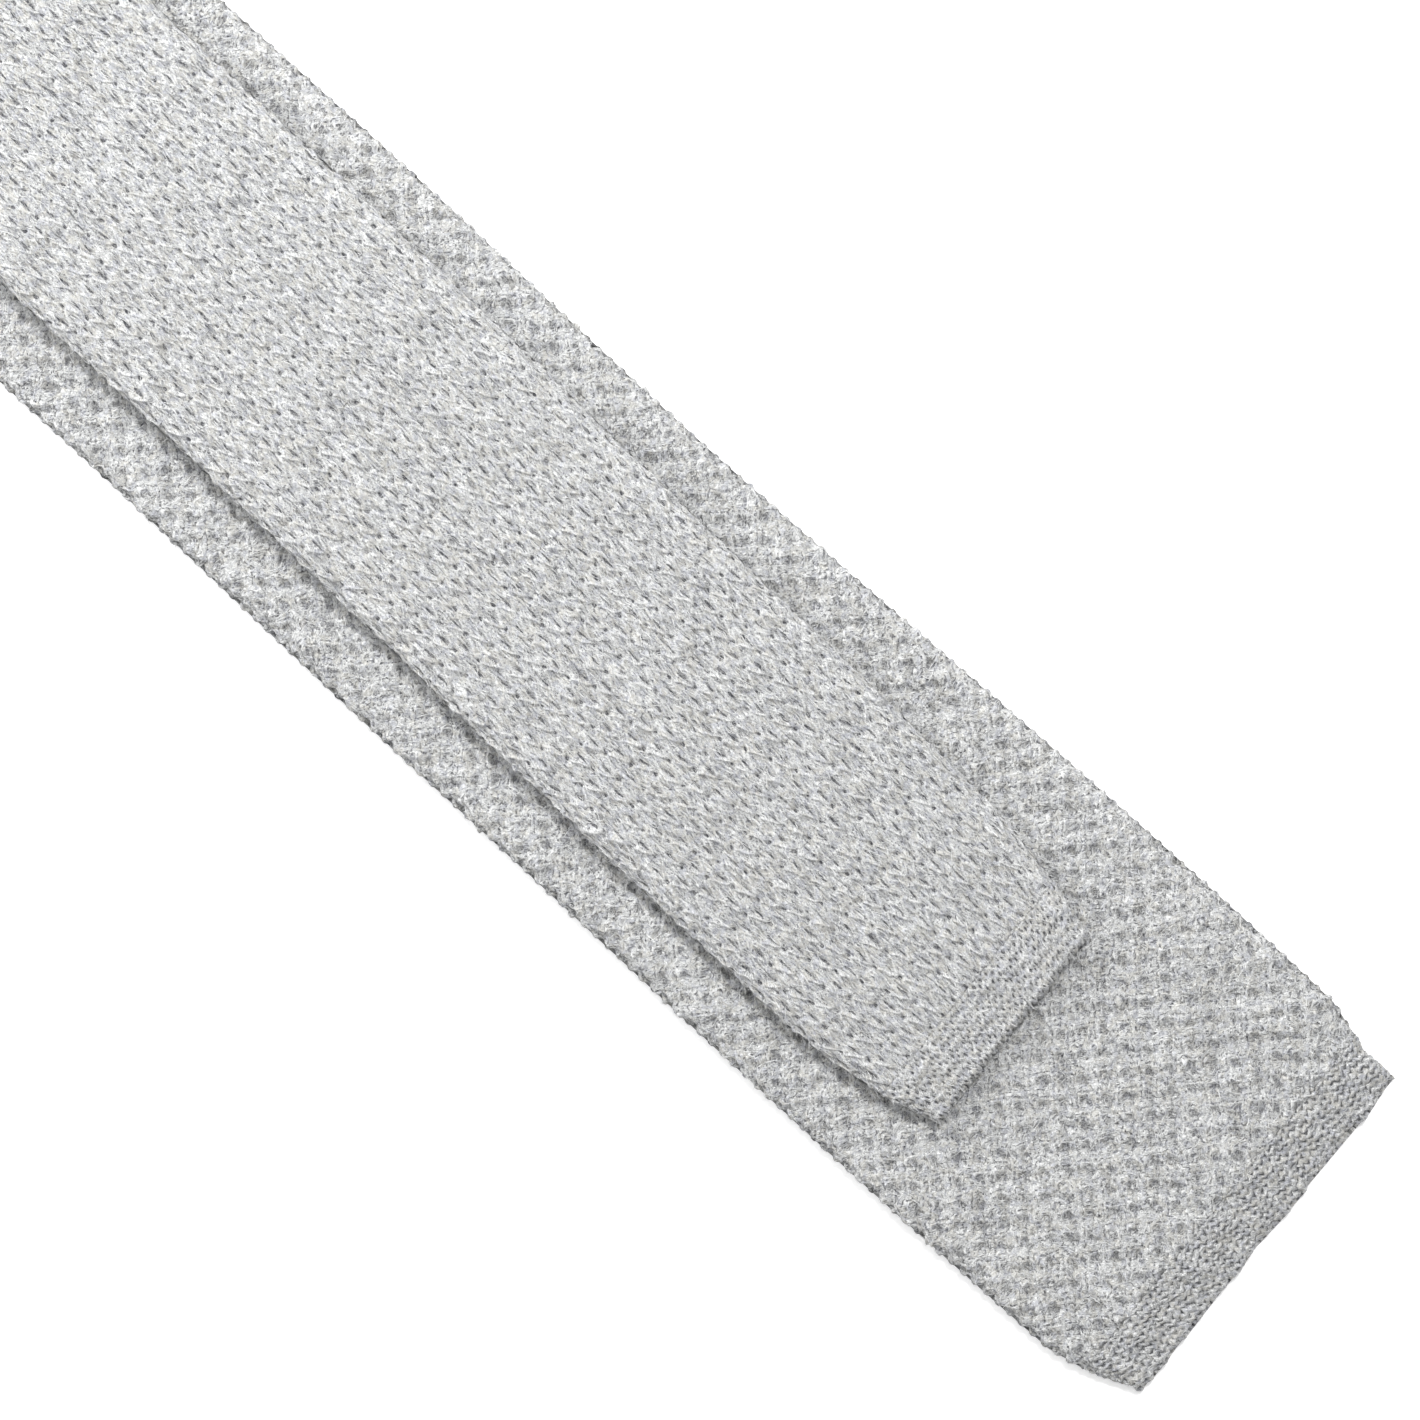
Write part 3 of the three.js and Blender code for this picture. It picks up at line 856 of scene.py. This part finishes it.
def relief_tree(title, stitches):
    tree, graph, given = new_tree(title, RELIEF_INPUTS)
    height, _ = stitches(graph, graph.attribute("stitch"), BROAD_PITS)
    share = graph.number("relief")
    swell = graph.noise(graph.attribute("cloth"), SWELL_SCALE, 2.0).out("Fac") - 0.5
    ripple = graph.noise(graph.attribute("cloth"), RIPPLE_SCALE, 2.0).out("Fac") - 0.5
    uneven = swell * given.out("Swell") + ripple * given.out("Ripple")
    lift = (given.out("Proud") - (1.0 - height) * given.out("Depth") + uneven) * share
    offset = graph.vectors("SCALE", graph.attribute("outward"), lift)
    inputs = {"Geometry": given.out("Geometry"), "Offset": offset}
    moved = graph.add("GeometryNodeSetPosition", inputs=inputs)
    real = graph.add("GeometryNodeRealizeInstances", inputs={0: moved.out(0)})
    inputs = {"Geometry": real.out(0), "Material": given.out("Material")}
    dressed = graph.add("GeometryNodeSetMaterial", inputs=inputs)
    graph.add("NodeGroupOutput", inputs={0: dressed.out(0)})
    return tree


def through_tree(piece, tree, values):
    """Runs a piece through a tree once and keeps the result as its plain mesh."""
    modifier = piece.modifiers.new(tree.name, "NODES")
    modifier.node_group = tree
    for item in tree.interface.items_tree:
        if item.item_type == "SOCKET" and item.in_out == "INPUT" and item.name in values:
            modifier[item.identifier] = values[item.name]
    graph = bpy.context.evaluated_depsgraph_get()
    made = bpy.data.meshes.new_from_object(piece.evaluated_get(graph))
    old = piece.data
    piece.modifiers.remove(modifier)
    piece.data = made
    bpy.data.meshes.remove(old)
    made.name = piece.name
    return piece


# %% [markdown]
# The wool is one heathered light grey yarn, so every face has the same recipe. Pale fibres lie over a
# grey ground, mostly along the yarn. A little blue and a little beige are mixed in. Shade is painted
# into the colour by the stitch's height: the pits between the stitches get painted shade and the
# crests painted light. Thin pale lines are where a stretched noise crosses its middle, like strands.

# %% Wool
GROUND = (0.24, 0.243, 0.247)
PALE = (0.76, 0.765, 0.76)
# The next grey is the colour of the painted shade in the pits and of the dark specks.
DEEP_SHADE_AND_SPECK = (0.06, 0.061, 0.068)
BLUISH = (0.32, 0.335, 0.41)
BEIGE = (0.50, 0.475, 0.41)
WOOL_SHADER = {
    "Roughness": 0.95,
    "Specular IOR Level": 0.2,
    "Sheen Weight": 0.25,
    "Sheen Roughness": 0.5,
}
BUMP_DISTANCE = 0.9 * MM
PIT_SHADE_FROM = 0.40  # what lies lower gets painted shade
SPECK_SCALE = 2.2
SPECK_BELOW = 0.385
SPECK_EDGE = 16.0


def new_material(title, settings):
    """A material, its graph and its shader, with the given values in the shader's sockets."""
    material = bpy.data.materials.new(title)
    material.use_nodes = True
    shader = material.node_tree.nodes["Principled BSDF"]
    for key, value in settings.items():
        shader.inputs[key].default_value = value
    return material, Graph(material.node_tree), shader


def tinted(graph, share, low, high):
    """A colour between two others."""
    inputs = {0: share}
    for key, colour in ((6, low), (7, high)):
        inputs[key] = colour if isinstance(colour, Value) else (*colour, 1)
    return graph.add("ShaderNodeMix", {"data_type": "RGBA"}, inputs).out(2)


def strands(graph, across, along, lean, length):
    """Fibres that lie at one lean from the tie's length, as a stretched noise and its thin crossings."""
    turn = math.radians(lean)
    over = across * math.cos(turn) - along * math.sin(turn)
    down = (along * math.cos(turn) + across * math.sin(turn)) / length
    broad = graph.noise(graph.joined(over * 4.2, down * 0.9, lean), 1.0, 2.0, 0.7).out("Fac")
    fine = graph.noise(graph.joined(over * 2.6, down * 0.6, lean + 7.0), 1.0, 2.5, 0.5).out("Fac")
    return (broad - 0.5) * 2.0, ridge(fine - 0.5, 0.045)


def wool(title, stitches, axis, swing, length, brightness, painted_crest_light, pit_shade_share):
    """The yarn lies within swing degrees of its axis, which is counted from the tie's length."""
    material, graph, shader = new_material(title, WOOL_SHADER)
    across, along, _ = graph.split(graph.attribute("cloth"))
    height, leaning = stitches(graph, graph.attribute("stitch"))
    relief = graph.number("relief")
    streak_left, lines_left = strands(graph, across, along, axis - swing, length)
    streak_right, lines_right = strands(graph, across, along, axis + swing, length)
    share = (leaning * 0.9 + 0.5).limited()
    streaks = streak_left + (streak_right - streak_left) * share
    lines = (lines_left * (1.15 - share)).maths("MAXIMUM", lines_right * (share + 0.15))
    cloth = graph.joined(across, along, 0.0)
    patches = graph.noise(cloth, 0.25, 4.0, 0.65).out("Fac") - 0.5
    grain = graph.noise(cloth, 6.0, 1.0, 0.7).out("Fac") - 0.5
    specks = ((SPECK_BELOW - graph.noise(cloth, SPECK_SCALE, 1.0).out("Fac")) * SPECK_EDGE).limited()
    fibres = streaks * 1.2 + lines * 0.8 + grain * 0.9 + patches * 1.2
    # The crests get painted light and the hollows painted shade from the stitch's height, on top of the
    # fibres' own tone.
    light = fibres + height * painted_crest_light + brightness
    base = tinted(graph, light.limited(), GROUND, PALE)

    blue = ridge(graph.noise(cloth, 0.9, 2.0).out("Fac") - 0.62, 0.10)
    beige = ridge(graph.noise(graph.joined(along, across, 3.0), 0.8, 2.0).out("Fac") - 0.62, 0.09)
    base = tinted(graph, blue * 0.4, base, BLUISH)
    base = tinted(graph, beige * 0.4, base, BEIGE)
    # Painted shade in the pits, and dark specks that are partly random tone and partly painted shade, as
    # they gather where the stitch is low.
    pit = ((PIT_SHADE_FROM - height) / PIT_SHADE_FROM).limited()
    dark = (pit * (1.0 - lines * 0.6) * pit_shade_share).maths("MAXIMUM", specks * (1.1 - height))
    base = tinted(graph, dark.limited(), base, DEEP_SHADE_AND_SPECK)
    material.node_tree.links.new(base.socket, shader.inputs["Base Color"])

    bump_height = height * (1.0 - relief * 0.5) + lines * 0.16 + streaks * 0.16
    inputs = {"Strength": 1.0, "Distance": BUMP_DISTANCE, "Height": bump_height}
    bump = graph.add("ShaderNodeBump", inputs=inputs).out(0)
    material.node_tree.links.new(bump.socket, shader.inputs["Normal"])
    return material


# Title, stitches, axis, swing, length, brightness, painted light of the crests, share of the painted pit
# shade
honeycomb_wool = wool("honeycomb wool", honeycomb, 90, 45, 0.5, 0.11, 0.70, 0.62)
long_stitch_wool = wool("long stitch wool", long_stitch, 0, 22, 0.65, 0.02, 0.66, 1.0)
purl_wool = wool("purl hem wool", purl, 90, 35, 0.6, -0.13, 0.60, 0.95)
plain_wool = wool("plain hem wool", plain, 0, 30, 0.7, -0.02, 0.60, 0.95)
print("materials", [m.name for m in bpy.data.materials])

# %% [markdown]
# Now each face goes through its own relief tree. The hems are knitted tightly, so theirs is shallow.

# %% Knit each face
FACES = (  # piece, stitches, material, then depth, height over the solid and ripple in millimetres
    (front, honeycomb, honeycomb_wool, 1.0, 0.25, 1.3),
    (back, long_stitch, long_stitch_wool, 0.6, 0.20, 1.1),
    (wide_hem, purl, purl_wool, 0.5, 0.15, 1.7),
    (narrow_hem, plain, plain_wool, 0.4, 0.15, 1.1),
)
for piece, stitches, material, depth, proud, ripple in FACES:
    tree = relief_tree(f"{piece.name} relief", stitches)
    values = {"Depth": depth * MM, "Proud": proud * MM, "Ripple": ripple * MM, "Material": material}
    through_tree(piece, tree, values)
    print(piece.name, "knitted", len(piece.data.polygons), "faces")

# %% [markdown]
# Loose fibres give wool its haze. Each one is a thin ribbon of two faces that lies along the yarn
# below it, bent and lifted by chance. One tree scatters them over a face, turns each to the yarn's
# lean, realizes them and then bends them, with every chance value from a fixed seed.

# %% Fibre tree
FIBRE_INPUTS = {
    "Density": 3.0e6,  # to a square metre
    "Length": 1.5 * MM,
    "Width": 0.055 * MM,
    "Lift": 0.12 * MM,
    "Bend": 0.35 * MM,
    "Spread": 0.5,  # in radians, to either side of the yarn
    "Run": 1.0,  # -1 where the yarn's lean is counted the other way
    "Seed": 1,
    "Material": None,
}


def fibre_tree(title, stitches, axis, swing):
    tree, graph, given = new_tree(title, FIBRE_INPUTS)

    def chance(low, high, offset):
        """A random number for each fibre."""
        seed = given.out("Seed") + float(offset)
        inputs = {2: low, 3: high, "Seed": seed}
        return graph.add("FunctionNodeRandomValue", {"data_type": "FLOAT"}, inputs).out(1)

    def keep(geometry, name, kind, value):
        settings = {"data_type": kind, "domain": "POINT"}
        inputs = {"Geometry": geometry, "Name": name, "Value": value}
        return graph.add("GeometryNodeStoreNamedAttribute", settings, inputs).out(0)

    inputs = {"Mesh": given.out("Geometry"), "Seed": given.out("Seed")}
    inputs["Density"] = given.out("Density") * graph.number("relief")
    scattered = graph.add("GeometryNodeDistributePointsOnFaces", inputs=inputs)
    normal = scattered.out("Normal")
    _, leaning = stitches(graph, graph.attribute("stitch"))
    angle = leaning * math.radians(swing) + math.radians(axis)
    angle = angle + chance(-1.0, 1.0, 1) * given.out("Spread")
    course = angle.maths("COSINE") * given.out("Run")
    heading = graph.joined(angle.maths("SINE"), course, chance(-0.25, 0.25, 2))
    upright = graph.add("FunctionNodeAlignRotationToVector", {"axis": "Z"}, {"Vector": normal})
    settings = {"axis": "X", "pivot_axis": "Z"}
    inputs = {"Rotation": upright.out(0), "Vector": heading}
    turned = graph.add("FunctionNodeAlignRotationToVector", settings, inputs).out(0)
    side = graph.vectors("CROSS_PRODUCT", normal, heading)
    points = keep(scattered.out("Points"), "fibre_normal", "FLOAT_VECTOR", normal)
    points = keep(points, "fibre_side", "FLOAT_VECTOR", side)
    points = keep(points, "fibre_lift", "FLOAT", chance(0.0, 1.0, 3) ** 4.0)
    points = keep(points, "fibre_bend", "FLOAT", chance(-1.0, 1.0, 4))
    points = keep(points, "fibre_tone", "FLOAT", chance(0.0, 1.0, 5))

    ribbon = graph.add("GeometryNodeMeshGrid", inputs={0: 1.0, 1: 1.0, 2: 3, 3: 2}).out(0)
    x, y, z = graph.split(graph.add("GeometryNodeInputPosition").out(0))
    narrow = graph.joined(x, y * (1.0 - x * x * 3.0), z)
    ribbon = graph.add("GeometryNodeSetPosition", inputs={"Geometry": ribbon, "Position": narrow}).out(0)
    ribbon = keep(ribbon, "fibre_share", "FLOAT", x)
    length = given.out("Length") * chance(0.5, 1.3, 6)
    size = graph.joined(length, given.out("Width") * chance(0.5, 1.5, 7), 1.0)
    inputs = {"Points": points, "Instance": ribbon, "Rotation": turned, "Scale": size}
    placed = graph.add("GeometryNodeInstanceOnPoints", inputs=inputs).out(0)
    real = graph.add("GeometryNodeRealizeInstances", inputs={0: placed}).out(0)
    share = graph.number("fibre_share") + 0.5
    lift = (graph.number("fibre_lift") * share * share * 9.0 + 0.25) * given.out("Lift")
    sideways = graph.number("fibre_bend") * share * share * given.out("Bend")
    upwards = graph.vectors("SCALE", graph.attribute("fibre_normal"), lift)
    sideways = graph.vectors("SCALE", graph.attribute("fibre_side"), sideways)
    offset = graph.vectors("ADD", upwards, sideways)
    bent = graph.add("GeometryNodeSetPosition", inputs={"Geometry": real, "Offset": offset}).out(0)
    inputs = {"Geometry": bent, "Material": given.out("Material")}
    graph.add("NodeGroupOutput", inputs={0: graph.add("GeometryNodeSetMaterial", inputs=inputs).out(0)})
    return tree


# %% [markdown]
# One plain material serves all the fibres, and each one's tone is a chance number of its own.

# %% Fibres on each face
FIBRE_DARK = (0.26, 0.265, 0.27)
FIBRE_SHADER = {"Roughness": 0.8, "Specular IOR Level": 0.2}
HEM_FIBRE = 1.2 * MM


def fibre_wool():
    material, graph, shader = new_material("loose fibre", FIBRE_SHADER)
    base = tinted(graph, graph.number("fibre_tone"), FIBRE_DARK, PALE)
    material.node_tree.links.new(base.socket, shader.inputs["Base Color"])
    return material


def fibres_on(piece, name, stitches, axis, swing, **values):
    """A piece of loose fibres that lie over another piece."""
    fuzz = new_object(name, piece.data.copy())
    tree = fibre_tree(name, stitches, axis, swing)
    given = {title.capitalize(): value for title, value in values.items()}
    through_tree(fuzz, tree, given | {"Material": fibre_wool_material})
    print(name, 2 * len(fuzz.data.polygons), "triangles")
    return fuzz


fibre_wool_material = fibre_wool()
fuzz_on_front = fibres_on(
    front, "honeycomb_fibres", honeycomb, 90, 40, density=2.6e6, seed=3, spread=0.9
)
fuzz_on_back = fibres_on(
    back, "long_stitch_fibres", long_stitch, 0, 22, density=2.8e6, run=-1.0, seed=5
)
fuzz_on_wide_hem = fibres_on(
    wide_hem, "purl_hem_fibres", purl, 90, 35, density=1.8e6, seed=7, length=HEM_FIBRE
)
fuzz_on_narrow_hem = fibres_on(
    narrow_hem, "plain_hem_fibres", plain, 0, 30, density=1.8e6, run=-1.0, seed=9, length=HEM_FIBRE
)

# %% [markdown]
# The floor is a plain white table, much bigger than the tie. The light is a white room, one soft lamp
# beside the tie, which makes the narrow blade's shadow, and a bigger one over its middle, because in
# the photograph the light falls off towards the tie's ends. A low one lights the neck, which is
# outside the photograph.

# %% Floor and light
FLOOR_SIZE = 6.0
ROOM_LIGHT = 0.60
PURE_WHITE = (1, 1, 1, 1)
TABLE_SHADER = {
    "Base Color": (0.93, 0.93, 0.93, 1),
    "Roughness": 0.9,
    "Specular IOR Level": 0.1,
    "Emission Color": PURE_WHITE,
    "Emission Strength": 0.22,  # keeps the table pure white, as in the photograph
}
floor_mesh = bpy.data.meshes.new("floor")
reach = FLOOR_SIZE / 2
floor_corners = [(-reach, -reach, 0), (reach, -reach, 0), (reach, reach, 0), (-reach, reach, 0)]
floor_mesh.from_pydata(floor_corners, [], [(0, 1, 2, 3)])
floor = new_object("floor", floor_mesh)
floor_mesh.materials.append(new_material("white table", TABLE_SHADER)[0])

world = bpy.data.worlds.new("room")
world.use_nodes = True
world.node_tree.nodes["Background"].inputs["Color"].default_value = PURE_WHITE
world.node_tree.nodes["Background"].inputs["Strength"].default_value = ROOM_LIGHT
bpy.context.scene.world = world

LIT_ENDS = mathutils.Vector((0, tie_low.y + VIEW_FROM_WIDE_END * MM, 0))
LIT_NECK = mathutils.Vector((0, 0.31, 0))  # close to the fold
LAMPS = (  # name, place, what it is turned to, size in metres, watts
    ("side softbox", (0.24, -0.21, 0.52), LIT_ENDS, 0.13, 2.7),
    ("top softbox", (0.0, 0.04, 0.28), LIT_ENDS, 0.40, 1.68),
    ("neck softbox", (0.0, 0.31, 0.22), LIT_NECK, 0.35, 0.75),
)
for name, place, lit_place, size, watts in LAMPS:
    lamp_data = bpy.data.lights.new(name, "AREA")
    lamp_data.size = size
    lamp_data.energy = watts
    lamp = new_object(name, lamp_data)
    lamp.location = place
    lamp.rotation_euler = (mathutils.Vector(place) - lit_place).to_track_quat("Z", "Y").to_euler()
    lamp.visible_camera = False
bpy.context.scene.view_settings.view_transform = "Standard"

# %% [markdown]
# The tie has no joint, so every piece rides on the root. Each dressed solid takes the place of its CAD
# node, and the fibres are pieces of their own that replace nothing.

# %% Attach the pieces to the root
PIECES = (
    (front, ("front_wall",), "honeycomb_knit"),
    (back, ("back_wall",), "plain_knit"),
    (wide_hem, ("wide_end_hem",), "hem_knit"),
    (narrow_hem, ("narrow_end_hem",), "hem_knit"),
    (fuzz_on_front, (), "honeycomb_knit"),
    (fuzz_on_back, (), "plain_knit"),
    (fuzz_on_wide_hem, (), "hem_knit"),
    (fuzz_on_narrow_hem, (), "hem_knit"),
)
for piece, stood_for, slot in PIECES:
    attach(piece, "root")
    if stood_for:
        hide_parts(*stood_for)

# %% [markdown]
# Both walls are sheets of cloth that lie folded. Their flat size is the tie's length without its hems
# and its greatest width, and their area follows the widths along it.

SHEET_STEP = 1.0
sheet_at = np.arange(WIDE_HEM_LENGTH, wall_to, SHEET_STEP)
flat_area = float(width_at(sheet_at).sum()) * SHEET_STEP * MM * MM
